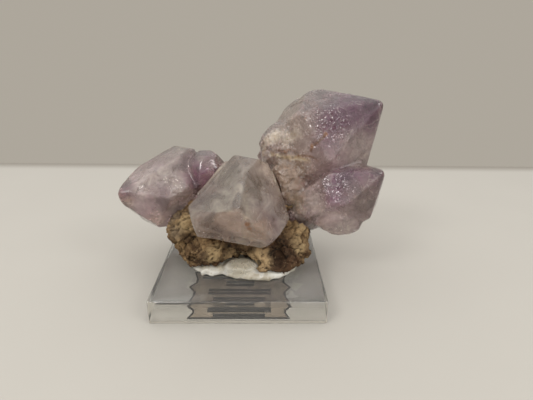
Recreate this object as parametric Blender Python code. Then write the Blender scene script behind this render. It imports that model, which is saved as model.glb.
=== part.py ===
"""Amethyst crystals on a lump of brown matrix, glued to a clear acrylic slab.

Metres, +Z up. The origin is the centre of the slab's underside, +X is to the viewer's right
and +Y points away from the viewer.
"""
import itertools
import math

import bmesh
import bpy
from mathutils import Matrix, Vector, noise

MM = 0.001
FIT_GAP = 0.3 * MM
# Rough faces are cut back further, because their small facets don't all move out by the same amount
ROUGH_GAP = 0.4 * MM

SLAB_SIDE = 50.8 * MM
SLAB_HEIGHT = 7.5 * MM
SLAB_EASE = 0.45 * MM

LABEL_WIDTH = 30.0 * MM
LABEL_FRONT = -21.0 * MM
LABEL_BACK = -4.8 * MM
LABEL_NOTCH = 1.2 * MM
LABEL_POINT = 1.8 * MM
LABEL_THICKNESS = 0.15 * MM
LABEL_LIFT = 0.02 * MM

# Where the glue's rim lies on the slab, counter-clockwise from the left front, in mm
GLUE_RIM = (
    (-16.6, -5.4), (-15.0, -9.4), (-11.8, -12.4), (-8.7, -12.9), (-5.8, -12.1), (-1.8, -14.6),
    (2.5, -15.2), (6.8, -15.7), (10.4, -15.2), (13.0, -13.4), (15.8, -11.0), (18.6, -7.7),
    (19.5, -2.0), (18.0, 5.0), (14.0, 11.0), (7.0, 12.6), (-1.0, 11.6), (-8.5, 12.0),
    (-13.5, 8.0), (-16.0, 1.5),
)
GLUE_STEPS = 3
# Rings of the glue from the rim up, as height above the slab and pull-in from the rim, in mm
GLUE_RINGS = ((0.3, 0.5), (0.8, 0.0), (1.5, 0.3), (2.1, 1.3), (2.5, 4.0))
GLUE_CROWN = 2.8 * MM
# The bead of clear glue that fills the hollow under the front of the rock, as centre and half widths in mm
GLUE_BEAD = ((0.5, -10.6, 9.7), (5.5, 3.8, 2.4))

MATRIX_VOXEL = 1.58 * MM
MATRIX_FLOOR = 8.5 * MM
CRUMB_SIZE = 5 * MM
CRUMB_HEIGHT = 2.2 * MM
SWELL_SIZE = 9 * MM
SWELL_HEIGHT = 2.4 * MM

# How far the boxes that cut a flat underside reach sideways and down, in mm
CUTTER_REACH = 60
CUTTER_DEPTH = 40

# Quartz geometry: a tip face leans this far from the plane square to the crystal's axis
TIP_SLOPE = math.radians(51.8)

# One crystal is the space inside twelve faces, a root plane and some broken faces.
# axis: azimuth and elevation of the tip in degrees, azimuth 0 towards the viewer, 90 to +X.
# twist: turn of the faces about the axis, in degrees.
# tip: the ideal point of the tip in mm.
# setback: how far each tip face stands out from that point, in mm.
# radius: distance of each side face from the axis, in mm.
# length: from the tip to the root, in mm.
# breaks: broken faces, each an azimuth, an elevation and a distance in mm from the middle.
CRYSTALS = {
    "upper_right": dict(
        axis=(50, 38), twist=30, tip=(43.3, 2.2, 59.3), length=36.5,
        setback=(0, 0, 0, 0, 0, 0), radius=(15.7, 14.7, 14.4, 13.6, 9.7, 13.5),
        middle=(30, 8, 48), breaks=((-97, 38, 15.6), (55, 42, 17)),
    ),
    "upper_right_step": dict(
        axis=(50, 38), twist=30, tip=(36.5, 8, 55.5), length=33,
        setback=(0, 0, 0, 0, 0, 0), radius=(13.6, 15.2, 12, 12, 9, 13),
        middle=(30, 8, 48), breaks=((-97, 30, 17.5),),
    ),
    "lower_right": dict(
        axis=(54, 40), twist=14, tip=(44.2, -4.5, 39.8), length=31,
        setback=(0, 0, 0, 0, 0, 0), radius=(9.9, 12, 9.4, 9.6, 9.4, 8.8),
        middle=(35, -2, 30), breaks=((52, -70, 15), (-57, -53, 13), (58, 44, 12.2)),
    ),
    "lower_right_heel": dict(
        axis=(54, 40), twist=14, tip=(40.5, -4, 31.5), length=24,
        setback=(0, 0, 0, 0, 0, 0), radius=(8, 8.5, 7, 7.5, 8, 8),
        middle=(31, -2, 24), breaks=((52, -80, 8), (-57, -53, 6.5)),
    ),
    "left": dict(
        axis=(-46, 14), twist=5, tip=(-38.8, -2, 32.5), length=24,
        setback=(-1.4, 0, 0, 1.4, 1, 0), radius=(14.5, 12, 12, 12.3, 11, 13),
        middle=(-28, 4, 30), breaks=((-70, 10, 11.5), (30, -45, 11.5), (-110, 55, 9.6)),
    ),
    "small_left": dict(
        axis=(40, 78), twist=40, tip=(-11, 8, 44.5), length=19,
        setback=(0, 0, 0, 0, 0, 0), radius=(6, 6, 6, 6, 6, 6),
        middle=(-12, 8, 34), breaks=((20, 80, 6.6),),
    ),
    "centre": dict(
        axis=(4, 25), twist=48, tip=(0.4, -24, 35.4), length=26,
        setback=(0, 4, 0, 4, 0, 4), radius=(11.5, 13.4, 9.8, 14, 13.5, 15.8),
        middle=(0, -12, 30), breaks=((40, -50, 13),),
    ),
    "centre_step": dict(
        axis=(4, 25), twist=48, tip=(0.6, -19.5, 34.6), length=21,
        setback=(0, 3, 0, 3, 0, 3), radius=(12.4, 11, 9.2, 14.6, 14, 13),
        middle=(0, -12, 30), breaks=(),
    ),
}

LEFT_MEMBERS = ("left", "small_left")
CENTRE_MEMBERS = ("centre", "centre_step")
RIGHT_MEMBERS = ("upper_right", "upper_right_step", "lower_right", "lower_right_heel")

# Rough masses as centre and half widths in mm, and the seed of their surface
SHOULDERS = {
    "upper_shoulder": ((14.5, 13, 42.5), (8.8, 8.5, 9), 3),
    "upper_root": ((19.5, 19, 36), (12.5, 10, 11), 4),
    "neck": ((15.5, 8.5, 31), (8, 8, 9), 5),
    "lower_root": ((22, 7, 22), (8, 8, 7), 6),
}

MATRIX_LUMPS = {
    "body": ((-1, 1, 16.5), (20, 13, 8.5)),
    "left_lobe": ((-16.2, 0, 17), (7.8, 9, 8.4)),
    "left_foot": ((-14, -4, 11.5), (7, 5, 4)),
    "left_back": ((-17, 13, 20.5), (11.5, 11, 11)),
    "left_top": ((-11, 8, 22), (9, 8.5, 8)),
    "right_lobe": ((16, -4.5, 13), (6.6, 7, 6)),
    "right_bump": ((20.3, 0.5, 17), (3.2, 4, 3.4)),
    "right_back": ((15, 12, 20), (10.5, 12, 11)),
    "high_back": ((17, 19, 29), (12, 9, 13)),
    "front_lump": ((-8, -11, 14.4), (5, 3.2, 3.8)),
    "front_left_foot": ((-11.2, -8.2, 10.6), (6.6, 3.8, 3.4)),
    "front_foot": ((10.4, -9.8, 10.8), (7.8, 5.6, 4.0)),
    "back_foot": ((-3, 13, 14.5), (14, 8, 7)),
}

# Notches in the broken lower rim of the front crystal
RIM_NOTCHES = {
    "notch_left": ((-6.4, -17.6, 22.2), (2.3, 3.2, 2.3)),
    "notch_right": ((1.0, -18.6, 21.6), (2.5, 3.2, 2.4)),
}

MATRIX_PITS = {
    "pit_middle": ((2.6, -12.4, 16.2), (3.6, 3, 2.2)),
    "pit_right": ((11.3, -13.5, 14.2), (2.2, 3.2, 3.4)),
    "pit_left": ((-15.5, -10.5, 12), (2.4, 3, 2)),
    "pit_back": ((2, 22.5, 20), (5, 4, 3.5)),
    "pit_left_back": ((-25, 17, 17), (4, 4, 3)),
}


def clear_scene():
    for thing in list(bpy.data.objects):
        bpy.data.objects.remove(thing, do_unlink=True)


def add_object(name, mesh, material=None):
    thing = bpy.data.objects.new(name, mesh)
    bpy.context.scene.collection.objects.link(thing)
    if material:
        mesh.materials.append(material)
    return thing


def add_helper(name, mesh):
    """A solid that only joins or cuts another one."""
    helper = add_object(name, mesh)
    helper.hide_render = True
    helper.display_type = "WIRE"
    return helper


def combine(target, helper, operation):
    step = target.modifiers.new(operation.lower() + "_" + helper.name, "BOOLEAN")
    step.operation = operation
    step.solver = "EXACT"
    step.object = helper


def material(name, colour, roughness, transmission=0.0, ior=1.5):
    made = bpy.data.materials.new(name)
    made.use_nodes = True
    shader = made.node_tree.nodes["Principled BSDF"]
    shader.inputs["Base Color"].default_value = (*colour, 1.0)
    shader.inputs["Roughness"].default_value = roughness
    shader.inputs["Metallic"].default_value = 0.0
    shader.inputs["Transmission Weight"].default_value = transmission
    shader.inputs["IOR"].default_value = ior
    return made


def mesh_from(name, bm):
    bmesh.ops.recalc_face_normals(bm, faces=bm.faces)
    mesh = bpy.data.meshes.new(name)
    bm.to_mesh(mesh)
    bm.free()
    return mesh


def direction(azimuth, elevation):
    turn = math.radians(azimuth)
    lift = math.radians(elevation)
    return Vector((math.sin(turn) * math.cos(lift), -math.cos(turn) * math.cos(lift), math.sin(lift)))


def crystal_planes(spec):
    """The faces of a crystal as pairs of outward normal and distance from the origin, in mm."""
    axis = direction(*spec["axis"])
    up = (Vector((0, 0, 1)) - axis * axis.z).normalized()
    side = axis.cross(up)
    tip = Vector(spec["tip"])
    planes = []
    for face in range(6):
        angle = math.radians(spec["twist"] + 60 * face)
        out = math.cos(angle) * up + math.sin(angle) * side
        slanted = math.sin(TIP_SLOPE) * out + math.cos(TIP_SLOPE) * axis
        planes.append((slanted, slanted.dot(tip) + spec["setback"][face]))
        planes.append((out, out.dot(tip) + spec["radius"][face]))
    planes.append((-axis, spec["length"] - axis.dot(tip)))
    middle = Vector(spec["middle"])
    for azimuth, elevation, distance in spec["breaks"]:
        out = direction(azimuth, elevation)
        planes.append((out, out.dot(middle) + distance))
    return planes


def corner_of(three):
    """The point where three planes meet, or None where they don't."""
    rows = Matrix([plane[0] for plane in three])
    if abs(rows.determinant()) < 1e-6:
        return None
    return rows.inverted() @ Vector([plane[1] for plane in three])


def crystal_mesh(name, spec, grow=0.0):
    """The convex solid inside a crystal's planes, each moved out by grow metres."""
    planes = [(out, distance + grow / MM) for out, distance in crystal_planes(spec)]
    bm = bmesh.new()
    for three in itertools.combinations(planes, 3):
        corner = corner_of(three)
        if corner and all(out.dot(corner) < distance + 1e-4 for out, distance in planes):
            bm.verts.new(corner * MM)
    bmesh.ops.remove_doubles(bm, verts=bm.verts, dist=1e-6)
    bmesh.ops.convex_hull(bm, input=bm.verts)
    bmesh.ops.dissolve_limit(bm, angle_limit=math.radians(0.5), verts=bm.verts, edges=bm.edges)
    return mesh_from(name, bm)


def lump_mesh(name, centre, size, seed, roughness=0.18, detail=3, grow=0.0):
    """A rough ellipsoid. centre and size, its half widths, are in mm."""
    bm = bmesh.new()
    bmesh.ops.create_icosphere(bm, subdivisions=detail, radius=1.0)
    shift = Vector((seed * 7.3, seed * 3.1, seed * 5.7))
    for vertex in bm.verts:
        out = vertex.co.normalized()
        wave = noise.noise(out * 1.7 + shift) + 0.5 * noise.noise(out * 3.9 + shift)
        reach = 1.0 + roughness * wave
        place = Vector([out[i] * size[i] * reach for i in range(3)])
        vertex.co = (Vector(centre) + place) * MM + out * grow
    return mesh_from(name, bm)


def build_slab():
    bm = bmesh.new()
    bmesh.ops.create_cube(bm, size=1.0)
    for vertex in bm.verts:
        vertex.co.x *= SLAB_SIDE
        vertex.co.y *= SLAB_SIDE
        vertex.co.z = (vertex.co.z + 0.5) * SLAB_HEIGHT
    acrylic = material("clear_acrylic", (0.93, 0.95, 0.95), 0.03, transmission=1.0, ior=1.49)
    slab = add_object("base_slab", mesh_from("base_slab", bm), acrylic)
    ease = slab.modifiers.new("eased_edges", "BEVEL")
    ease.width = SLAB_EASE
    ease.segments = 2
    return slab


def label_outline(margin):
    """A rectangle whose left and right sides come to a small point in the middle."""
    half = LABEL_WIDTH / 2 + margin
    front = LABEL_FRONT - margin
    back = LABEL_BACK + margin
    middle = (front + back) / 2
    waist = half - LABEL_NOTCH
    right = [
        (half, front), (waist, front + 3 * LABEL_NOTCH), (waist, middle - 2 * LABEL_NOTCH),
        (waist + LABEL_POINT, middle), (waist, middle + 2 * LABEL_NOTCH),
        (waist, back - 3 * LABEL_NOTCH), (half, back),
    ]
    left = [(-x, y) for x, y in reversed(right)]
    return right + left


def prism_mesh(name, outline, bottom, top):
    bm = bmesh.new()
    floor = [bm.verts.new((x, y, bottom)) for x, y in outline]
    face = bm.faces.new(floor)
    raised = bmesh.ops.extrude_face_region(bm, geom=[face])["geom"]
    for item in raised:
        if isinstance(item, bmesh.types.BMVert):
            item.co.z = top
    return mesh_from(name, bm)


def build_label(slab):
    """The film lies in a shallow seat in the slab's underside, so the slab rests flat."""
    film = material("label_film", (0.62, 0.61, 0.58), 0.5)
    top = LABEL_LIFT + LABEL_THICKNESS
    add_object("label", prism_mesh("label", label_outline(0.0), LABEL_LIFT, top), film)
    seat = add_helper("label_seat", prism_mesh("label_seat", label_outline(FIT_GAP), -MM, top + FIT_GAP))
    combine(slab, seat, "DIFFERENCE")


def rim_points():
    """The glue's rim as a smooth closed curve through its points."""
    count = len(GLUE_RIM)
    corners = [Vector(point) * MM for point in GLUE_RIM]
    smooth = []
    for i in range(count):
        before, start, end, after = (corners[(i + j - 1) % count] for j in range(4))
        for step in range(GLUE_STEPS):
            t = step / GLUE_STEPS
            bend = (end - before) * t + (2 * before - 5 * start + 4 * end - after) * t ** 2
            swing = (3 * start - before - 3 * end + after) * t ** 3
            smooth.append(start + 0.5 * (bend + swing))
    return smooth


def glue_mesh(name, grow=0.0):
    """A low pad: rings that rise and pull in from the rim, closed by a flat bottom and a crown.

    grow moves its sides out, its top up and its bottom down.
    """
    rim = rim_points()
    middle = sum(rim, Vector((0.0, 0.0))) / len(rim)
    bm = bmesh.new()
    rings = []
    for height, pull in GLUE_RINGS:
        ring = []
        for point in rim:
            out = (point - middle).normalized()
            place = point + out * (grow - pull * MM)
            ring.append(bm.verts.new((place.x, place.y, SLAB_HEIGHT + height * MM)))
        rings.append(ring)
    for ring in rings[2:]:
        for vertex in ring:
            vertex.co.z += grow
    for vertex in rings[0]:
        vertex.co.z -= grow
    for low, high in zip(rings, rings[1:]):
        for i in range(len(rim)):
            j = (i + 1) % len(rim)
            bm.faces.new((low[i], low[j], high[j], high[i]))
    bm.faces.new(rings[0])
    crown = bm.verts.new((middle.x, middle.y, SLAB_HEIGHT + GLUE_CROWN + grow))
    for i in range(len(rim)):
        bm.faces.new((rings[-1][i], rings[-1][(i + 1) % len(rim)], crown))
    return mesh_from(name, bm)


def glue_bead_mesh(name, grow=0.0):
    centre, size = GLUE_BEAD
    return lump_mesh(name, centre, size, 11, roughness=0.1, grow=grow)


def under_mesh(name, height):
    """Everything below a height in metres."""
    reach = CUTTER_REACH
    return box_mesh(name, (-reach, -reach, -CUTTER_DEPTH), (reach, reach, height / MM))


def build_glue():
    cream = material("cream_glue", (0.80, 0.77, 0.70), 0.45)
    glue = add_object("glue", glue_mesh("glue"), cream)
    combine(glue, add_helper("glue_bead", glue_bead_mesh("glue_bead")), "UNION")
    combine(glue, add_helper("glue_under", under_mesh("glue_under", SLAB_HEIGHT + FIT_GAP)), "DIFFERENCE")


def box_mesh(name, low, high):
    bm = bmesh.new()
    bmesh.ops.create_cube(bm, size=1.0)
    for vertex in bm.verts:
        vertex.co = Vector([(high[i] if vertex.co[i] > 0 else low[i]) * MM for i in range(3)])
    return mesh_from(name, bm)


def crystal_group(name, members, rough, quartz):
    """One solid of crystals and rough masses that grew into each other."""
    first, *others = members
    group = add_object(name, crystal_mesh(name, CRYSTALS[first]), quartz)
    for other in others:
        combine(group, add_helper(other, crystal_mesh(other, CRYSTALS[other])), "UNION")
    for lump in rough:
        centre, size, seed = SHOULDERS[lump]
        combine(group, add_helper(lump, lump_mesh(lump, centre, size, seed)), "UNION")
    return group


def make_room(target, members, rough):
    """Cut the target back from crystals and rough masses that it meets."""
    for lump in rough:
        centre, size, seed = SHOULDERS[lump]
        mesh = lump_mesh(lump, centre, size, seed, grow=ROUGH_GAP)
        combine(target, add_helper(target.name + "_room_" + lump, mesh), "DIFFERENCE")
    for other in members:
        cutter = add_helper(target.name + "_room_" + other, crystal_mesh(other, CRYSTALS[other], FIT_GAP))
        combine(target, cutter, "DIFFERENCE")


def build_crystals():
    quartz = material("amethyst", (0.62, 0.56, 0.62), 0.25, transmission=0.5, ior=1.544)
    left = crystal_group("left_crystals", LEFT_MEMBERS, (), quartz)
    centre = crystal_group("centre_crystal", CENTRE_MEMBERS, (), quartz)
    for seed, (name, (place, size)) in enumerate(RIM_NOTCHES.items()):
        notch = lump_mesh(name, place, size, seed + 60, detail=2)
        combine(centre, add_helper(name, notch), "DIFFERENCE")
    right = crystal_group("right_crystals", RIGHT_MEMBERS, tuple(SHOULDERS), quartz)
    make_room(left, CENTRE_MEMBERS, ())
    make_room(right, CENTRE_MEMBERS, ())


def fuse(rock, name):
    step = rock.modifiers.new(name, "REMESH")
    step.mode = "VOXEL"
    step.voxel_size = MATRIX_VOXEL


def add_grain(rock, name, kind, scale, strength):
    texture = bpy.data.textures.new(name, kind)
    texture.noise_scale = scale
    grain = rock.modifiers.new(name, "DISPLACE")
    grain.texture = texture
    grain.texture_coords = "LOCAL"
    grain.strength = strength
    grain.mid_level = 0.5


def build_matrix():
    """Rough lumps fused into one rock, cut away where the crystals and the glue sit."""
    bm = bmesh.new()
    for seed, (name, (centre, size)) in enumerate(MATRIX_LUMPS.items()):
        bm.from_mesh(lump_mesh(name, centre, size, seed + 20, roughness=0.22))
    brown = material("brown_matrix", (0.29, 0.21, 0.13), 0.9)
    rock = add_object("matrix", mesh_from("matrix", bm), brown)
    fuse(rock, "fuse_lumps")
    add_grain(rock, "crumbs", "VORONOI", CRUMB_SIZE, -CRUMB_HEIGHT)
    add_grain(rock, "swells", "CLOUDS", SWELL_SIZE, SWELL_HEIGHT)
    fuse(rock, "fuse_grain")
    for seed, (name, (centre, size)) in enumerate(MATRIX_PITS.items()):
        pit = lump_mesh(name, centre, size, seed + 40, roughness=0.3, detail=2)
        combine(rock, add_helper(name, pit), "DIFFERENCE")
    combine(rock, add_helper("matrix_under", under_mesh("matrix_under", MATRIX_FLOOR)), "DIFFERENCE")
    combine(rock, add_helper("glue_room", glue_mesh("glue_room", ROUGH_GAP)), "DIFFERENCE")
    combine(rock, add_helper("bead_room", glue_bead_mesh("bead_room", ROUGH_GAP)), "DIFFERENCE")
    make_room(rock, LEFT_MEMBERS + CENTRE_MEMBERS + RIGHT_MEMBERS, tuple(SHOULDERS))


clear_scene()
slab = build_slab()
build_label(slab)
build_glue()
build_crystals()
build_matrix()
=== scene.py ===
"""Looks of the amethyst specimen: crystals, rock, glue, acrylic slab, label, light and camera."""
import math

import bmesh
import bpy
import numpy as np
from mathutils import Matrix, Vector


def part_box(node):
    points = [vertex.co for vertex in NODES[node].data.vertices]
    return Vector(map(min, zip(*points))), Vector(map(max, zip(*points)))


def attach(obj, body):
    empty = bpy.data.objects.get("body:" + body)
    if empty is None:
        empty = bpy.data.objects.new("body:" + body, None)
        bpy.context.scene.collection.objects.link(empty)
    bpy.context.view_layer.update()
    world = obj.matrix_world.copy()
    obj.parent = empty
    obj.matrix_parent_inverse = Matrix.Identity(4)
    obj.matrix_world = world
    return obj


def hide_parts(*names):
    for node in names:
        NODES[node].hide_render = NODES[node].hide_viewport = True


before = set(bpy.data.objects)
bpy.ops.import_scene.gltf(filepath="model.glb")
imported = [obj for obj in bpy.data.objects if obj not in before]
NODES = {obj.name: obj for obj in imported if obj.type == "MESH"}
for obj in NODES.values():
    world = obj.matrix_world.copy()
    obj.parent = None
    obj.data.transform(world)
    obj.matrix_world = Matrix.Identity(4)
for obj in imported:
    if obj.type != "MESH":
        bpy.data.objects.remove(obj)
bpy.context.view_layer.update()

MM = 0.001

# Camera, from the slab's edges in the photograph: place in m
PHOTO_WIDTH = 533
FOCAL_PIXELS = 385.0
SENSOR_WIDTH = 36.0
CAMERA_PLACE = Vector((0.0058, -0.1144, 0.0741))
CAMERA_PITCH = math.radians(21.96)
CAMERA_YAW = math.radians(1.17)
CAMERA_ROLL = math.radians(0.77)
CAMERA_NEAR = 0.005

# Surround: colour at the wall and overhead, and the rise of the view between which it changes
WALL_LIGHT = (0.42, 0.385, 0.33)
CEILING_LIGHT = (0.95, 0.93, 0.90)
WALL_RISE = 0.14
CEILING_RISE = 0.65

# Lamps: name, place and size in m, power in W, colour
LAMP_AIM = (0, 0, 0.03)
LAMPS = (
    ("overhead", (-0.10, -0.05, 0.70), (1.0, 0.8), 0.9, (1.0, 0.98, 0.95)),
    ("front_fill", (0.30, -0.62, 0.26), (1.0, 0.4), 1.0, (1.0, 0.985, 0.96)),
    ("key", (-0.28, -0.30, 0.44), (0.18, 0.13), 0.75, (1.0, 0.985, 0.96)),
    ("right_panel", (0.36, -0.26, 0.40), (0.16, 0.16), 0.4, (1.0, 0.99, 0.97)),
)

# Table, in mm: far edge, soft band before it, reach to the other sides, gap under the slab
TABLE_BACK = 132.0
TABLE_FADE = 14.0
TABLE_REACH = 1200.0
TABLE_DROP = 0.02
TABLE_TONES = ((0.50, 0.478, 0.437), (0.52, 0.50, 0.457))
TABLE_EDGE_TONE = (0.29, 0.265, 0.23)

# Cell size of each fine mesh, in mm
LEFT_VOXEL = 0.32
CENTRE_VOXEL = 0.30
RIGHT_VOXEL = 0.36
ROCK_VOXEL = 0.42
GLUE_VOXEL = 0.35

# Smoothing rounds for edges in general, for worn tips and for glue, and the share a point keeps in a round
EDGE_ROUNDS = 9
WORN_ROUNDS = 24
GLUE_ROUNDS = 5
KEPT_SHARE = 0.4

# Slab: width of its eased edges in mm, and the angle above which an edge stays sharp
SLAB_EASE = 0.3
SLAB_SHARP = math.radians(40)
ACRYLIC_IOR = 1.49
ACRYLIC_ABSORB = ((0.94, 0.92, 0.82), 12.0)

# Label, in mm: half width, front, back, depth of the side notches, reach of their points
LABEL_HALF = 15.0
LABEL_FRONT = -21.0
LABEL_BACK = -4.8
LABEL_NOTCH = 1.2
LABEL_POINT = 1.8
# Printed border: its distance from the label's edge and its width
BORDER_INSET = 0.1
BORDER_WIDTH = 0.6
# Pairs of plain ruled lines: place and half length; half width of a line, half distance in a pair
LABEL_RULES = ((-19.0, 7.6), (-15.1, 9.3), (-11.0, 4.3), (-7.3, 12.0))
RULE_HALF = 0.55
RULE_SPREAD = 0.75
# Bottom and top of the film and of the print
FILM_LEVELS = (0.04, 0.07)
PRINT_LEVELS = (0.09, 0.12)
FILM_TONE = (0.97, 0.90, 0.83)
PRINT_TONES = ((0.012, 0.011, 0.010), (0.035, 0.031, 0.027))

# Glue: the bead's smooth ball and its clear ball, each as centre, radius and softness; heights in mm
BEAD_SMOOTH = ((0.5, -11.5, 10.5), 5.0, 0.3)
BEAD_CLEAR = ((0.5, -11.5, 10.8), 4.0, 0.4)
FOLD_HEIGHT = 0.42
RIPPLE_HEIGHT = 0.16
GLUE_IOR = 1.48
GLUE_TONES = {
    "cream": (0.80, 0.78, 0.72),
    "shade": (0.52, 0.47, 0.37),
    "bead": (0.82, 0.76, 0.62),
    "speck": (0.30, 0.20, 0.10),
}

# Crystals: directions of their long axes as azimuth and elevation, and x that parts the left pair, in mm
LEFT_AXIS = (-46, 14)
SMALL_AXIS = (40, 78)
CENTRE_AXIS = (4, 25)
RIGHT_AXIS = (51, 39)
PAIR_SPLIT = -17.5
# Softness of the border round a worn tip and round a swell
WORN_SOFT = 0.6
SWELL_SOFT = 0.6
# Relief of the crystals, in mm: long and short sway, ledges on tip faces, stripes on side faces, chips
SWAY_HEIGHT = 0.10
SHORT_SWAY_HEIGHT = 0.03
LEDGE_HEIGHT = 0.07
STRIPE_HEIGHT = 0.04
STRIPE_GAP = 1.1
CHIP_HEIGHT = 0.10
# Broken areas: size and height of the large and the small blocks, depth of the cracks, sway of the whole
BLOCK_SIZE = 2.1
BLOCK_HEIGHT = 0.7
BLOCK_CRACK = 0.3
SPLINTER_SIZE = 1.0
SPLINTER_HEIGHT = 0.28
BROKEN_SWAY = 0.3
BROKEN_DEPTH = 0.2

# Quartz as a material
QUARTZ_IOR = 1.544
QUARTZ_ABSORB = ((0.74, 0.62, 0.72), 25.0)
# Tone of the pale specks painted on glittering areas as sparkles of light
PAINTED_SPARKLE_TONE = (0.92, 0.90, 0.87)
# Coloured areas with a smaller radius than this, in mm, keep a crisper border
SMALL_ZONE = 1.5
# Base colours of the quartz and what lies on it; pale, ivory and gold also serve for painted highlights
QUARTZ = {
    "milky": (0.54, 0.43, 0.39),
    "grey": (0.45, 0.39, 0.345),
    "pale": (0.80, 0.705, 0.65),
    "haze": (0.42, 0.34, 0.295),
    "fog": (0.62, 0.535, 0.425),
    "cloudy": (0.62, 0.505, 0.44),
    "rose": (0.55, 0.42, 0.35),
    "window": (0.73, 0.665, 0.565),
    "lilac": (0.46, 0.295, 0.335),
    "purple": (0.22, 0.072, 0.16),
    "deep": (0.12, 0.034, 0.088),
    "mauve": (0.37, 0.27, 0.25),
    "brown": (0.38, 0.27, 0.195),
    "umber": (0.25, 0.17, 0.12),
    "smoke": (0.30, 0.225, 0.195),
    "dark": (0.08, 0.05, 0.04),
    "moss": (0.42, 0.385, 0.30),
    "ivory": (0.74, 0.65, 0.52),
    "tan": (0.46, 0.345, 0.225),
    "gold": (0.62, 0.46, 0.25),
    "rust": (0.24, 0.11, 0.05),
}
# Kinds that no light passes through
OPAQUE_KINDS = ("ivory", "tan", "gold", "rust", "brown", "umber", "dark")

# On each crystal, in mm: ZONES are kind, centre, radius and strength; LINES are kind, path, radius and
# strength; GLINTS, which glitter by tilted facets and painted sparkles, are centre and radius
LEFT_ZONES = (
    ("moss", (-23.9, 13.5, 40.6), 6.0, 0.5),
    ("pale", (-21.5, 2.0, 35.0), 6.5, 0.6),
    ("lilac", (-28.0, 9.0, 38.5), 6.0, 0.4),
    # Painted sheen: a pale patch where the middle of the crystal catches the light
    ("pale", (-30.0, -0.5, 32.5), 6.0, 1.0),
    ("purple", (-25.7, -2.1, 30.3), 4.0, 0.4),
    ("lilac", (-29.8, -1.6, 25.0), 4.5, 0.6),
    ("lilac", (-37.5, -1.5, 31.5), 4.5, 0.9),
    ("mauve", (-37.0, -2.0, 31.0), 4.0, 1.0),
    ("smoke", (-37.5, -2.0, 30.0), 3.6, 0.8),
    ("purple", (-38.0, -1.8, 31.0), 3.8, 0.7),
    ("brown", (-38.0, -1.8, 29.5), 2.5, 0.5),
    ("brown", (-27.6, -1.2, 21.5), 3.0, 0.5),
    ("tan", (-35.0, -2.4, 28.3), 1.6, 0.4),
    # Painted highlight: a bright spot where the crystal glints
    ("pale", (-19.2, 0.1, 32.2), 2.2, 0.9),
    ("smoke", (-17.5, 0.5, 28.0), 3.0, 0.6),
    ("lilac", (-12.5, 4.5, 37.0), 7.0, 1.0),
    ("purple", (-12.5, 3.5, 36.5), 5.0, 0.45),
    ("purple", (-13.2, 2.9, 34.3), 4.0, 0.8),
    ("grey", (-13.4, 6.5, 41.5), 2.6, 0.6),
)
LEFT_LINES = (
    ("smoke", ((-21.2, -1.3, 30.7), (-19.2, -0.8, 30.1), (-16.5, 1.6, 29.6)), 0.45, 0.7),
    ("deep", ((-13.8, 3.3, 36.8), (-14.1, 3.2, 30.0)), 0.5, 0.8),
)
LEFT_GLINTS = (((-19.2, 0.1, 32.2), 2.2), ((-30.5, -1.1, 32.2), 1.6), ((-22.0, 0.0, 34.5), 3.0))

CENTRE_ZONES = (
    ("window", (-3.0, -17.5, 36.4), 6.0, 1.0),
    ("window", (-7.5, -15.5, 33.6), 3.6, 0.8),
    ("window", (4.0, -17.0, 34.5), 5.0, 0.6),
    ("mauve", (-10.0, -9.0, 35.0), 6.0, 0.8),
    ("smoke", (-8.0, -9.5, 36.5), 5.0, 0.45),
    ("moss", (-2.5, -8.5, 41.5), 5.0, 0.8),
    ("smoke", (-0.5, -6.0, 43.5), 4.5, 0.6),
    # Painted light: these two pale areas lighten the right face, which the lamps leave darker than the left
    ("pale", (9.0, -12.0, 33.0), 8.0, 0.9),
    ("pale", (7.0, -12.5, 35.0), 7.0, 0.7),
    ("pale", (7.0, -18.0, 31.0), 3.5, 0.6),
    # Painted light: lightens the far right of the face, turned away from the lamps
    ("pale", (10.4, -14.7, 27.1), 5.0, 0.9),
    ("lilac", (9.5, -16.0, 26.0), 4.0, 0.5),
    ("mauve", (6.6, -19.8, 27.5), 5.0, 1.0),
    ("smoke", (6.6, -20.3, 28.5), 3.6, 0.6),
    ("brown", (4.5, -19.5, 26.0), 5.0, 0.7),
    ("rose", (12.0, -6.0, 30.0), 5.0, 0.6),
    ("smoke", (4.9, -12.0, 38.3), 2.6, 0.5),
    ("moss", (4.6, -13.4, 37.5), 4.5, 0.5),
    ("smoke", (2.5, -6.9, 43.0), 3.0, 0.4),
    # Painted highlight: a pale spot where the face glints
    ("pale", (7.4, -11.1, 34.9), 1.6, 0.5),
    ("rust", (2.6, -21.3, 29.3), 0.85, 1.0),
    ("rust", (3.2, -20.6, 28.0), 0.6, 0.9),
    ("dark", (-0.1, -18.4, 37.9), 0.35, 0.8),
    ("dark", (-2.6, -17.2, 38.6), 0.25, 0.6),
    ("ivory", (-6.3, -17.8, 24.1), 0.9, 0.5),
    ("ivory", (1.1, -18.5, 23.9), 0.9, 0.5),
)
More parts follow.
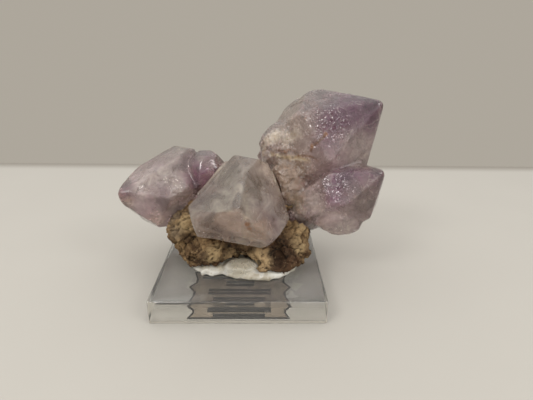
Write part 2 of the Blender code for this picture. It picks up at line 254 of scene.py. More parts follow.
CENTRE_LINES = (
    ("ivory", ((1.6, -22.9, 32.8), (2.4, -22.0, 31.2), (2.0, -22.2, 30.4)), 0.8, 0.8),
    ("pale", ((0.1, -18.3, 38.1), (0.8, -21.5, 36.9), (0.4, -23.7, 35.5), (1.1, -23.2, 33.7)), 0.22, 0.5),
    ("smoke", ((0.1, -18.3, 38.1), (-1.2, -21.5, 36.4), (-2.3, -23.0, 34.0)), 0.4, 0.6),
    ("smoke", ((1.1, -23.2, 33.4), (1.2, -21.1, 29.2), (1.1, -18.9, 24.8)), 0.4, 0.6),
    ("pale", ((-12.6, -11.9, 31.7), (-7.0, -8.7, 37.6), (-4.3, -5.7, 41.2)), 0.5, 0.45),
    ("pale", ((5.0, -20.9, 30.6), (8.9, -11.1, 32.5)), 0.4, 0.4),
    ("pale", ((3.4, -22.0, 30.5), (10.5, -8.1, 32.5)), 0.3, 0.35),
    ("smoke", ((4.2, -20.5, 29.2), (9.6, -12.5, 30.6)), 0.4, 0.35),
    ("pale", ((-9.5, -17.4, 24.6), (-3.0, -19.0, 24.6), (3.3, -19.3, 24.0), (8.0, -18.2, 22.6)), 0.5, 0.7),
)
# Planes, as point and normal, that part the light window from the wedge of warmer quartz under it
WINDOW_EDGES = (
    ((-9.0, -17.8, 31.5), (0.008, -0.402, -0.916)), ((1.1, -23.2, 33.4), (-0.997, -0.066, -0.033)),
)
# Wedges: kind, centre, radius, strength and the planes that bound them
CENTRE_WEDGES = (
    ("rose", (-4.5, -19.5, 29.0), 9.0, 0.9, WINDOW_EDGES),
    ("brown", (-4.0, -21.0, 31.0), 4.5, 0.4, WINDOW_EDGES),
)
CENTRE_GLINTS = (((-9.0, -17.7, 24.8), 2.0), ((7.4, -11.1, 34.9), 1.8), ((2.1, -22.3, 31.5), 1.2))

RIGHT_ZONES = (
    ("lilac", (28.0, 3.0, 52.0), 11.0, 0.85),
    ("haze", (18.5, 4.0, 50.0), 6.0, 0.7),
    ("brown", (16.0, 6.5, 52.5), 3.0, 0.45),
    ("pale", (19.0, 4.0, 51.5), 3.5, 0.5),
    # Painted light: these two pale areas lighten the lower part, which the lamps leave darker
    ("pale", (22.5, 1.0, 43.5), 5.0, 0.6),
    ("pale", (32.0, 0.0, 45.0), 5.0, 0.4),
    ("purple", (26.0, 3.0, 54.5), 4.0, 0.45),
    ("lilac", (30.0, 0.0, 46.0), 8.0, 0.6),
    ("smoke", (27.0, 10.5, 58.8), 6.0, 0.45),
    ("purple", (30.0, 7.0, 58.5), 7.0, 0.6),
    ("mauve", (22.0, 9.0, 56.0), 6.0, 0.8),
    ("purple", (31.4, 1.1, 52.9), 4.5, 0.75),
    ("purple", (34.0, 1.5, 54.0), 8.0, 0.55),
    ("purple", (36.5, 1.9, 56.0), 6.0, 0.9),
    ("deep", (33.5, 1.3, 53.0), 8.5, 0.95),
    ("purple", (29.0, 1.0, 46.5), 6.0, 0.5),
    ("deep", (37.0, 2.0, 56.5), 4.5, 0.7),
    # Painted light: lightens the lower face, which the lamps leave darker
    ("pale", (35.2, 0.8, 43.5), 6.0, 0.85),
    ("smoke", (24.8, -1.5, 41.6), 3.0, 0.5),
    ("lilac", (30.0, -1.0, 46.0), 3.5, 0.4),
    ("milky", (12.0, 7.0, 45.0), 6.5, 0.8),
    # Painted highlight: ivory patches where the rough shoulder glints
    ("ivory", (10.7, 7.0, 47.4), 2.8, 0.8),
    ("ivory", (14.8, 5.5, 46.9), 2.4, 0.7),
    ("ivory", (7.9, 7.9, 45.6), 2.0, 0.6),
    ("ivory", (17.5, 4.7, 48.4), 1.8, 0.5),
    ("grey", (14.0, 8.5, 51.5), 3.2, 0.6),
    ("tan", (7.5, 9.5, 42.0), 2.6, 0.6),
    ("umber", (13.9, 1.9, 36.0), 4.6, 0.9),
    ("umber", (18.8, 1.9, 35.4), 4.0, 0.8),
    ("umber", (10.8, 4.1, 37.0), 3.5, 0.9),
    ("umber", (15.5, 1.5, 31.0), 4.5, 0.9),
    ("umber", (14.5, 2.0, 35.0), 8.0, 1.0),
    ("rust", (13.6, 4.9, 42.5), 0.7, 0.8),
    ("rust", (21.9, 1.0, 45.5), 0.7, 0.85),
    ("rust", (25.8, 0.4, 49.4), 0.7, 0.8),
    ("rust", (19.6, 3.1, 53.6), 0.45, 0.6),
    ("dark", (29.7, -1.5, 42.5), 0.8, 0.75),
    ("lilac", (32.0, -5.0, 30.0), 11.0, 0.8),
    # Painted light: these two pale areas lighten the low faces, which the lamps leave darker
    ("pale", (24.0, -4.0, 28.0), 5.0, 0.7),
    ("pale", (30.3, -4.5, 22.0), 6.5, 0.9),
    ("purple", (32.6, -5.2, 34.8), 5.5, 1.0),
    ("purple", (28.7, -6.4, 32.0), 4.0, 0.8),
    ("deep", (34.0, -4.2, 36.0), 4.5, 0.9),
    ("purple", (40.5, -6.0, 36.5), 4.5, 0.7),
    ("purple", (38.0, -6.5, 32.0), 6.0, 0.55),
    ("smoke", (38.0, -6.8, 30.5), 6.0, 1.0),
    ("pale", (30.3, -3.5, 19.6), 4.5, 0.5),
    ("lilac", (27.9, -6.0, 23.1), 3.5, 0.5),
    ("tan", (18.0, 1.0, 26.0), 3.4, 0.6),
    ("grey", (25.0, -2.0, 28.5), 3.5, 0.5),
)
RIGHT_LINES = (
    # Painted highlight: a bright gold and ivory streak where the shoulder meets the neck and glints
    ("gold", ((9.5, 6.0, 41.4), (13.4, 5.4, 40.5), (18.1, 4.2, 40.7), (21.5, 2.0, 40.7)), 1.3, 0.9),
    ("ivory", ((9.5, 6.0, 41.0), (13.4, 5.4, 40.1), (18.1, 4.2, 40.3), (21.5, 2.0, 40.3)), 0.7, 0.9),
    ("rust", ((25.8, 0.4, 49.4), (23.5, -0.2, 47.0), (21.9, 1.0, 45.5), (21.7, 1.2, 43.9)), 0.8, 1.0),
    ("rust", ((9.5, 7.0, 43.6), (13.6, 4.9, 42.5), (15.5, 5.1, 43.4), (18.0, 4.0, 41.6)), 0.75, 1.0),
    ("rust", ((19.0, 3.4, 41.8), (22.1, 0.9, 42.1), (24.0, -0.5, 41.2)), 0.65, 0.9),
    ("smoke", ((16.2, 19.9, 54.4), (18.1, 15.3, 56.4), (20.2, 10.6, 57.4), (22.9, 6.6, 56.4)), 0.6, 0.75),
    ("pale", ((33.4, -0.1, 50.8), (31.0, -1.3, 44.9)), 0.5, 0.6),
    ("smoke", ((19.5, 3.0, 40.0), (26.0, -1.0, 40.8), (31.0, -2.0, 41.8)), 0.6, 0.6),
    # Painted shade: a dark line in the crease between the upper and the lower crystal
    ("dark", ((26.6, 1.9, 36.6), (32.2, -1.9, 37.7), (37.4, -1.9, 38.6)), 0.5, 0.7),
    ("pale", ((18.9, 0.4, 27.9), (25.8, -5.5, 31.9)), 0.45, 0.5),
    ("pale", ((19.0, -0.8, 24.2), (26.0, -6.4, 27.4)), 0.4, 0.45),
    ("smoke", ((24.7, -3.3, 21.6), (29.0, -5.0, 21.0), (33.3, -4.2, 20.4)), 0.5, 0.55),
)
RIGHT_GLINTS = (
    ((24.5, 4.0, 54.5), 6.0), ((28.0, 2.0, 51.0), 5.0), ((21.7, 2.0, 50.0), 5.0), ((13.5, 6.5, 46.5), 6.5),
    ((19.0, 3.5, 41.0), 3.5), ((12.0, 5.0, 41.0), 3.0), ((25.0, 1.1, 35.1), 3.0), ((30.3, -3.5, 18.8), 2.5),
    ((29.5, -5.0, 33.0), 5.0), ((27.0, -5.5, 28.0), 3.5), ((21.0, 1.5, 37.5), 3.5), ((24.5, -3.0, 33.0), 3.0),
)

# Areas broken rough: centre, radius in mm and strength
LEFT_ROUGH = (((-16, 12, 27), 8, 0.5), ((-14, 2, 27), 4.5, 0.4), ((-26, 4, 20), 4, 0.3))
CENTRE_ROUGH = (((-12, -12, 18), 5, 0.4), ((8, -13, 15), 5, 0.4), ((2.4, -21.8, 30.2), 1.3, 0.5))
RIGHT_ROUGH = (
    ((12, 10, 44), 8, 0.85), ((15, 5, 34), 8.0, 0.8), ((20, 18, 34), 12, 0.8),
    ((30, -1, 18), 5, 0.4), ((20, 3, 24), 7, 0.6), ((22.5, 1.0, 44.0), 2.6, 0.4),
)
# Tips worn round: centre and radius in mm
LEFT_WORN = (((-38, -1, 31), 6), ((-24, 6, 41), 7), ((-20, 0, 31), 5), ((-13, 3, 38), 6))
CENTRE_WORN = (((8, -17, 23), 4), ((0, -19, 35), 11), ((2, -12, 41), 9))
RIGHT_WORN = (((42, 2, 58), 9), ((24, 8, 57), 8), ((44, -4, 38), 7), ((32, -4, 20), 7), ((36, 0, 45), 6))

# Swells, or scallops where the height is below zero: centre, radius and height in mm
LEFT_SWELLS = (((-34.0, -2.0, 24.5), 5.0, 0.8), ((-38.0, -1.0, 28.0), 3.0, 0.4))
CENTRE_SWELLS = (
    ((-7.0, -17.4, 23.4), 1.7, -1.4), ((-1.0, -17.5, 22.4), 1.7, -1.4), ((5.0, -16.8, 20.9), 1.8, -1.4),
)

# Grooves: path in mm, radius in mm, depth in mm
LEFT_GROOVES = (
    (((-21.2, -1.3, 30.7), (-19.2, -0.8, 30.1), (-16.5, 1.6, 29.6)), 0.6, 0.35),
)
CENTRE_GROOVES = (
    (((0.1, -18.3, 38.1), (0.8, -21.5, 36.9), (0.4, -23.7, 35.5), (1.1, -23.2, 33.7)), 0.4, 0.10),
    (((3.3, -20.0, 26.6), (10.3, -17.1, 25.2)), 0.8, 0.15),
    (((5.0, -20.9, 30.6), (8.9, -11.1, 32.5)), 0.7, 0.10),
)
RIGHT_GROOVES = (
    (((16.2, 19.9, 54.4), (18.1, 15.3, 56.4), (20.2, 10.6, 57.4), (22.9, 6.6, 56.4)), 0.8, 0.3),
    (((26.6, 1.9, 36.6), (32.2, -1.9, 37.7), (37.4, -1.9, 38.6)), 0.7, 0.3),
    (((29.7, -1.5, 42.3), (29.8, -1.5, 42.8)), 0.9, 0.5),
    (((18.9, 0.4, 26.6), (25.8, -5.5, 30.4)), 0.9, 0.25),
)

# Relief of the rock, in mm: lumps and the clefts between them, crumbs and theirs, pits
LUMP_SIZE = 3.4
LUMP_HEIGHT = 1.1
LUMP_CLEFT = 0.8
CRUMB_SIZE = 1.6
CRUMB_HEIGHT = 0.35
CRUMB_CLEFT = 0.25
PIT_DEPTH = 0.8
# Pockets in the rock, dug into the relief and darkened with painted shade: centre, radius and depth in mm
ROCK_POCKETS = (
    ((-16.5, -8.0, 18.3), 2.0, 1.0), ((-10.9, -13.7, 15.0), 1.3, 0.8), ((-2.4, -11.0, 16.7), 2.4, 1.2),
    ((0.6, -10.4, 15.2), 2.2, 1.2), ((3.1, -10.4, 16.9), 2.2, 1.2), ((10.8, -10.8, 15.2), 2.0, 1.2),
    ((13.5, -9.0, 18.5), 2.6, 1.0), ((15.0, -10.0, 13.5), 1.8, 0.9), ((-13.5, -9.5, 12.0), 1.4, 0.6),
    ((12.0, -11.0, 11.5), 2.6, 0.5),
)
# Patches on the rock: tone, softness, strength, and centres with radius in mm
ROCK_PATCHES = (
    ("red", 0.5, 0.8, (((-9.5, -11.0, 9.2), 5.0), ((12.0, -12.0, 9.6), 6.0), ((14.0, -9.5, 14.0), 6.0))),
    ("grey", 0.6, 0.6, (((-20.4, -6.2, 19.5), 2.6), ((-22.0, 0.0, 21.0), 3.0))),
    ("sand", 0.6, 0.7, (((-1.5, -11.5, 13.5), 3.0), ((3.0, -11.0, 17.5), 4.0), ((7.0, -12.0, 13.0), 3.0))),
    ("tan", 0.6, 0.75, (
        ((-17.2, -5.9, 22.8), 3.0), ((-7.9, -12.9, 17.0), 2.4), ((18.5, -10.0, 15.4), 1.6),
        ((-7.2, -11.7, 17.6), 1.6), ((-8.5, -13.5, 13.6), 2.4), ((19.5, -2.0, 19.0), 1.6),
        ((19.0, -8.0, 18.5), 3.2), ((16.5, -9.0, 20.5), 2.2), ((3.5, -12.5, 19.5), 2.0),
    )),
)
ROCK_TONES = {
    "umber": (0.072, 0.038, 0.018),
    "brown": (0.20, 0.125, 0.06),
    "lump": (0.35, 0.235, 0.115),
    "red": (0.07, 0.034, 0.017),
    "grey": (0.20, 0.155, 0.105),
    "sand": (0.62, 0.45, 0.25),
    "tan": (0.41, 0.30, 0.16),
    "painted_pocket_shade": (0.05, 0.028, 0.015),
    "dark_grain": (0.06, 0.035, 0.02),
    "light_grain": (0.50, 0.39, 0.23),
}


# Repeatable noise over points in mm

HASH_X, HASH_Y, HASH_Z, HASH_SEED, HASH_TURN = 374761393, 668265263, 1013904223, 974634777, 1274126177


def lattice(x, y, z, seed):
    """A number from 0 to 1 for each whole place, always the same for the same seed."""
    mixed = (x * HASH_X + y * HASH_Y + z * HASH_Z + seed * HASH_SEED) & 0xFFFFFFFF
    mixed = ((mixed ^ (mixed >> 13)) * HASH_TURN) & 0xFFFFFFFF
    return ((mixed ^ (mixed >> 16)) & 0xFFFF) / 0xFFFF


def waves(points, size, seed):
    """Smooth noise from -1 to 1 whose lumps are about size mm."""
    spot = points / size
    whole = np.floor(spot).astype(np.int64)
    part = spot - whole
    part = part * part * (3 - 2 * part)
    total = np.zeros(len(points))
    for dx in (0, 1):
        for dy in (0, 1):
            for dz in (0, 1):
                weight = (
                    (part[:, 0] if dx else 1 - part[:, 0])
                    * (part[:, 1] if dy else 1 - part[:, 1])
                    * (part[:, 2] if dz else 1 - part[:, 2])
                )
                total += weight * lattice(whole[:, 0] + dx, whole[:, 1] + dy, whole[:, 2] + dz, seed)
    return total * 2 - 1


def cells(points, size, seed):
    """Distance to the nearest and second nearest of scattered points, in mm, and the nearest one's number."""
    spot = points / size
    whole = np.floor(spot).astype(np.int64)
    first = np.full(len(points), 9.0)
    second = np.full(len(points), 9.0)
    number = np.zeros(len(points))
    for dx in (-1, 0, 1):
        for dy in (-1, 0, 1):
            for dz in (-1, 0, 1):
                x, y, z = whole[:, 0] + dx, whole[:, 1] + dy, whole[:, 2] + dz
                place = np.stack([w + lattice(x, y, z, seed + i) for i, w in enumerate((x, y, z))], 1)
                away = np.linalg.norm(spot - place, axis=1)
                closer = away < first
                second = np.where(closer, first, np.minimum(second, away))
                number = np.where(closer, lattice(x, y, z, seed + 3), number)
                first = np.where(closer, away, first)
    return first * size, second * size, number


def fade(value, low, high):
    """0 below low and 1 above high, smoothly joined."""
    part = np.clip((value - low) / (high - low), 0, 1)
    return part * part * (3 - 2 * part)


def near(points, centre, radius, soft=0.4):
    """1 inside a ball and 0 outside it, with a soft border."""
    away = np.linalg.norm(points - np.array(centre), axis=1)
    return 1 - fade(away, radius * (1 - soft), radius * (1 + soft))


def near_path(points, path, radius):
    """1 on a path of straight pieces and 0 farther than radius from it."""
    closest = np.full(len(points), 1e9)
    for start, end in zip(path, path[1:]):
        start, end = np.array(start, float), np.array(end, float)
        span = end - start
        part = np.clip(((points - start) @ span) / (span @ span), 0, 1)
        away = np.linalg.norm(points - start - part[:, None] * span, axis=1)
        closest = np.minimum(closest, away)
    return 1 - fade(closest, 0, radius)


def unit(azimuth, elevation):
    """A direction in degrees: azimuth 0 points at the viewer and 90 to the right, elevation 90 up."""
    turn, lift = math.radians(azimuth), math.radians(elevation)
    return np.array([math.sin(turn) * math.cos(lift), -math.cos(turn) * math.cos(lift), math.sin(lift)])


# Fine meshes made from the solids

def evaluated_mesh(thing):
    """The object's mesh with its modifiers applied."""
    graph = bpy.context.evaluated_depsgraph_get()
    graph.update()
    return bpy.data.meshes.new_from_object(thing.evaluated_get(graph))


def fine_copy(name, node, voxel):
    """The node's shape as one even fine mesh that lies on the node's faces."""
    copy = bpy.data.objects.new(name, NODES[node].data.copy())
    bpy.context.scene.collection.objects.link(copy)
    remesh = copy.modifiers.new("remesh", "REMESH")
    remesh.mode = "VOXEL"
    remesh.voxel_size = voxel * MM
    wrap = copy.modifiers.new("wrap", "SHRINKWRAP")
    wrap.target = NODES[node]
    wrap.wrap_method = "NEAREST_SURFACEPOINT"
    mesh = evaluated_mesh(copy)
    copy.modifiers.clear()
    copy.data = mesh
    mesh.materials.clear()
    return copy


def read_points(mesh):
    """The mesh's points in mm."""
    flat = np.zeros(len(mesh.vertices) * 3)
    mesh.vertices.foreach_get("co", flat)
    return flat.reshape(-1, 3) / MM


def read_normals(mesh):
    """The direction out of the surface at each point."""
    flat = np.zeros(len(mesh.vertices) * 3, np.float32)
    mesh.vertex_normals.foreach_get("vector", flat)
    return flat.reshape(-1, 3).astype(float)


def write_points(mesh, points):
    """Move the mesh's points to these places in mm."""
    mesh.vertices.foreach_set("co", (points * MM).reshape(-1))
    mesh.update()
    mesh.shade_smooth()


def smoothed(mesh, points, rounds):
    """The points after some rounds in which each moves towards the mean of its neighbours."""
    ends = np.zeros(len(mesh.edges) * 2, np.int64)
    mesh.edges.foreach_get("vertices", ends)
    a, b = ends.reshape(-1, 2).T
    count = np.bincount(a, minlength=len(points)) + np.bincount(b, minlength=len(points))
    result = points.copy()
    for _ in range(rounds):
        total = np.stack([
            np.bincount(a, result[b, i], len(points)) + np.bincount(b, result[a, i], len(points))
            for i in range(3)
        ], 1)
        result = KEPT_SHARE * result + (1 - KEPT_SHARE) * total / count[:, None]
    return result


def worn_edges(mesh, points, worn_zones):
    """The points with all edges softened by uneven amounts, and the worn tips rounded more."""
    soft = smoothed(mesh, points, EDGE_ROUNDS)
    worn = np.zeros(len(points))
    for centre, radius in worn_zones:
        worn = np.maximum(worn, near(points, centre, radius, WORN_SOFT))
    softer = smoothed(mesh, soft, WORN_ROUNDS)
    wear = np.clip(0.8 + 0.5 * waves(points, 3.1, 1) + 0.3 * waves(points, 1.2, 2), 0.2, 1.3)
    shaped = points + (soft - points) * wear[:, None]
    return shaped + (softer - shaped) * worn[:, None]


def growth_marks(points, normals, axes):
    """Height of the faint ledges on tip faces, the stripes across side faces and small chips."""
    along = (points * axes).sum(1)
    lean = np.abs((normals * axes).sum(1))
    side_face = 1 - fade(lean, 0.15, 0.4)
    height = SWAY_HEIGHT * waves(points, 6.0, 7) + SHORT_SWAY_HEIGHT * waves(points, 2.5, 8)
    field = 0.33 * along + 1.3 * waves(points, 8.0, 3) + 0.12 * waves(points, 2.0, 4)
    step = field - np.floor(field)
    ledge = 1 - fade(step, 0.0, 0.07) * (1 - fade(step, 0.93, 1.0))
    height -= LEDGE_HEIGHT * ledge * fade(waves(points, 6.0, 12), -0.1, 0.4) * (1 - side_face)
    stripe = np.abs(((along / STRIPE_GAP + 0.4 * waves(points, 2.8, 5)) % 1.0) - 0.5) * 2
    height -= STRIPE_HEIGHT * stripe * side_face * (0.6 + 0.4 * waves(points, 4.0, 6))
    chips = fade(waves(points, 1.9, 13), 0.45, 0.7) * fade(waves(points, 7.0, 14), 0.1, 0.5)
    return height - CHIP_HEIGHT * chips


def broken_blocks(points):
    """Height of a surface broken into large and small blocks."""
    first, second, number = cells(points + 0.5 * waves(points, 1.5, 9)[:, None], BLOCK_SIZE, 10)
    blocks = (number - 0.5) * BLOCK_HEIGHT - BLOCK_CRACK * (1 - fade(second - first, 0.0, 0.4))
    number = cells(points, SPLINTER_SIZE, 30)[2]
    blocks += (number - 0.5) * SPLINTER_HEIGHT
    return blocks + BROKEN_SWAY * waves(points, 3.0, 11) - BROKEN_DEPTH


def crystal_relief(piece, axis_at, rough_zones, worn_zones, grooves, swells=()):
    """Softened edges, growth marks, grooves, swells and broken rough areas."""
    mesh = piece.data
    points = read_points(mesh)
    normals = read_normals(mesh)
    height = growth_marks(points, normals, axis_at(points))
    for path, radius, depth in grooves:
        height -= depth * near_path(points, path, radius)
    for centre, radius, rise in swells:
        height += rise * near(points, centre, radius, SWELL_SOFT)
    rough = np.zeros(len(points))
    for centre, radius, strength in rough_zones:
        rough = np.maximum(rough, strength * near(points, centre, radius))
    height += rough * broken_blocks(points)
    write_points(mesh, worn_edges(mesh, points, worn_zones) + normals * height[:, None])
    return piece


def rock_relief(piece):
    """Lumps, crumbs, pits and pockets."""
    mesh = piece.data
    points = read_points(mesh)
    normals = read_normals(mesh)
    warped = points + 0.8 * np.stack([waves(points, 2.5, 50 + i) for i in range(3)], 1)
    first, second, number = cells(warped, LUMP_SIZE, 60)
    height = LUMP_HEIGHT * (number - 0.5) - LUMP_CLEFT * (1 - fade(second - first, 0.0, 0.9))
    first, second, number = cells(warped, CRUMB_SIZE, 70)
    height += CRUMB_HEIGHT * (number - 0.5) - CRUMB_CLEFT * (1 - fade(second - first, 0.0, 0.4))
    height += 0.5 * waves(points, 4.5, 80) + 0.25 * waves(points, 1.5, 81) + 0.14 * waves(points, 0.8, 82)
    height -= PIT_DEPTH * fade(waves(warped, 3.0, 83), 0.35, 0.75)
    for centre, radius, depth in ROCK_POCKETS:
        height -= depth * near(warped, centre, radius, 0.7)
    write_points(mesh, points + normals * height[:, None])
    return piece


def glue_relief(piece):
    """Wavy folds, and a smooth bead."""
    mesh = piece.data
    points = read_points(mesh)
    normals = read_normals(mesh)
    squeezed = points * np.array([1.0, 1.0, 1.8])
    fold = 1 - 2 * np.abs(waves(squeezed, 2.6, 90))
    height = FOLD_HEIGHT * fold + RIPPLE_HEIGHT * waves(points, 1.3, 91)
    height *= 1 - 0.8 * near(points, *BEAD_SMOOTH)
    write_points(mesh, smoothed(mesh, points, GLUE_ROUNDS) + normals * height[:, None])
    return piece


# Node materials, in mm of the object's own frame

# A Mix node's colour sockets
MIX_FIRST, MIX_SECOND, MIX_RESULT = 6, 7, 2


class Shade:
    """One Principled material and the nodes that feed it."""

    def __init__(self, name, **uniform):
        self.material = bpy.data.materials.new(name)
        self.material.use_nodes = True
        self.tree = self.material.node_tree
        self.shader = self.tree.nodes["Principled BSDF"]
        self.output = self.tree.nodes["Material Output"]
        for socket, value in uniform.items():
            self.shader.inputs[socket.replace("_", " ")].default_value = value
        place = self.tree.nodes.new("ShaderNodeTexCoord").outputs["Object"]
        self.place = self.scaled(place, 1 / MM)

    def feed(self, socket, value):
        """Link the socket to a node's output, or set it to a number, vector or colour."""
        if isinstance(value, bpy.types.NodeSocket):
            self.tree.links.new(value, socket)
        elif isinstance(value, (tuple, list)) and len(value) == 3 and socket.type == "RGBA":
            socket.default_value = (*value, 1.0)
        else:
            socket.default_value = value

    def set(self, name, value):
        self.feed(self.shader.inputs[name], value)

    def math(self, operation, a, b=0.0, clamp=False):
        node = self.tree.nodes.new("ShaderNodeMath")
        node.operation = operation
        node.use_clamp = clamp
        self.feed(node.inputs[0], a)
        self.feed(node.inputs[1], b)
        return node.outputs[0]

    def vector(self, operation, *values):
        node = self.tree.nodes.new("ShaderNodeVectorMath")
        node.operation = operation
        for i, value in enumerate(values):
            self.feed(node.inputs[i], value)
        return node.outputs["Value" if operation in ("DISTANCE", "DOT_PRODUCT") else "Vector"]

    def scaled(self, value, amount):
        """A vector or colour times a number."""
        out = self.vector("SCALE", value)
        self.feed(out.node.inputs["Scale"], amount)
        return out

    def noise(self, size, detail=3.0, rough=0.55, warp=0.0, place=None, shift=(0, 0, 0)):
        """Noise from about 0 to 1 whose lumps are about size mm."""
        node = self.tree.nodes.new("ShaderNodeTexNoise")
        node.inputs["Scale"].default_value = 1 / size
        node.inputs["Detail"].default_value = detail
        node.inputs["Roughness"].default_value = rough
        node.inputs["Distortion"].default_value = warp
        self.feed(node.inputs["Vector"], self.vector("ADD", place or self.place, shift))
        return node.outputs["Fac"]

    def cell(self, size, output="Distance", feature="F1", place=None):
        """A value of cells about size mm across: by default the distance to the nearest centre."""
        node = self.tree.nodes.new("ShaderNodeTexVoronoi")
        node.feature = feature
        node.inputs["Scale"].default_value = 1 / size
        self.feed(node.inputs["Vector"], place or self.place)
        return node.outputs[output]

    def span(self, value, low, high, out_low=0.0, out_high=1.0):
        """value from low to high, smoothly turned into out_low to out_high."""
        node = self.tree.nodes.new("ShaderNodeMapRange")
        node.interpolation_type = "SMOOTHSTEP"
        self.feed(node.inputs["Value"], value)
        node.inputs["From Min"].default_value = low
        node.inputs["From Max"].default_value = high
        self.feed(node.inputs["To Min"], out_low)
        self.feed(node.inputs["To Max"], out_high)
        return node.outputs[0]

    def ball(self, centre, radius, soft=0.5, place=None):
        """1 within radius mm of centre and 0 away from it."""
        away = self.vector("DISTANCE", place or self.place, centre)
        return self.span(away, radius * (1 - soft), radius * (1 + soft), 1.0, 0.0)

    def path(self, corners, radius, place=None):
        """1 on a path of straight pieces and 0 farther than radius mm from it."""
        spot = place or self.place
        total = None
        for start, end in zip(corners, corners[1:]):
            start, end = Vector(start), Vector(end)
            span = end - start
            from_start = self.vector("SUBTRACT", spot, tuple(start))
            along = self.vector("DOT_PRODUCT", from_start, tuple(span))
            part = self.math("MULTIPLY", along, 1 / span.length_squared, clamp=True)
            foot = self.scaled(tuple(span), part)
            away = self.vector("DISTANCE", from_start, foot)
            total = away if total is None else self.math("MINIMUM", total, away)
        return self.span(total, 0.0, radius, 1.0, 0.0)

    def beyond(self, point, normal, place=None):
        """1 on the side of a plane that normal points to."""
        away = self.vector("SUBTRACT", place or self.place, point)
        return self.span(self.vector("DOT_PRODUCT", away, normal), -0.15, 0.15)

    def mix(self, amount, a, b):
        """From colour a to colour b."""
        node = self.tree.nodes.new("ShaderNodeMix")
        node.data_type = "RGBA"
        self.feed(node.inputs[0], amount)
        self.feed(node.inputs[MIX_FIRST], a)
        self.feed(node.inputs[MIX_SECOND], b)
        return node.outputs[MIX_RESULT]

    def warped(self, size, amount):
        """The place, pushed about by noise."""
        node = self.tree.nodes.new("ShaderNodeTexNoise")
        node.inputs["Scale"].default_value = 1 / size
        node.inputs["Detail"].default_value = 2.0
        self.feed(node.inputs["Vector"], self.place)
        push = self.vector("MULTIPLY_ADD", node.outputs["Color"], (amount,) * 3, self.place)
        return self.vector("ADD", push, (-amount / 2,) * 3)

    def bump(self, height, depth, normal=None):
        """height from 0 to 1 stands for depth mm."""
        node = self.tree.nodes.new("ShaderNodeBump")
        node.inputs["Strength"].default_value = 1.0
        node.inputs["Distance"].default_value = depth * MM
        self.feed(node.inputs["Height"], height)
        if normal:
            self.feed(node.inputs["Normal"], normal)
        return node.outputs[0]

    def pointiness(self):
        """Above 0.5 on ridges and below it in hollows."""
        return self.tree.nodes.new("ShaderNodeNewGeometry").outputs["Pointiness"]

    def facets(self, size, amount, normal):
        """The normal, tilted a different way in each small cell, as on a broken glittering surface."""
        spread = self.vector("SUBTRACT", self.cell(size, "Color"), (0.5, 0.5, 0.5))
        total = self.vector("ADD", self.scaled(spread, amount), normal)
        return self.vector("NORMALIZE", total)

    def absorb(self, colour, density):
        """Light is lost on its way through the piece."""
        node = self.tree.nodes.new("ShaderNodeVolumeAbsorption")
        node.inputs["Color"].default_value = (*colour, 1.0)
        node.inputs["Density"].default_value = density
        self.tree.links.new(node.outputs[0], self.output.inputs["Volume"])


def painted(shade, colour, veil, pushed, nudged, zones, wedges, lines):
    """The colour with its areas, wedges and lines on it, and how far opaque matter covers it."""
    cover = 0.0
    for kind, centre, radius, strength in zones:
        small = radius < SMALL_ZONE
        zone = shade.ball(centre, radius, 0.45 if small else 0.7, nudged if small else pushed)
        if not small:
            zone = shade.math("MULTIPLY", zone, shade.span(veil, 0.25, 0.6, 0.5, 1.0))
        zone = shade.math("MULTIPLY", zone, strength)
        colour = shade.mix(zone, colour, QUARTZ[kind])
        if kind in OPAQUE_KINDS:
            cover = shade.math("MAXIMUM", cover, zone)
    for kind, centre, radius, strength, planes in wedges:
        zone = shade.math("MULTIPLY", shade.ball(centre, radius, 0.4, nudged), strength)
        for point, normal in planes:
            zone = shade.math("MULTIPLY", zone, shade.beyond(point, normal, nudged))
        colour = shade.mix(zone, colour, QUARTZ[kind])
    for kind, path, radius, strength in lines:
        line = shade.math("MULTIPLY", shade.path(path, radius, nudged), strength)
        line = shade.math("MULTIPLY", line, shade.span(veil, 0.3, 0.5, 0.4, 1.0))
        colour = shade.mix(line, colour, QUARTZ[kind])
    return colour, cover


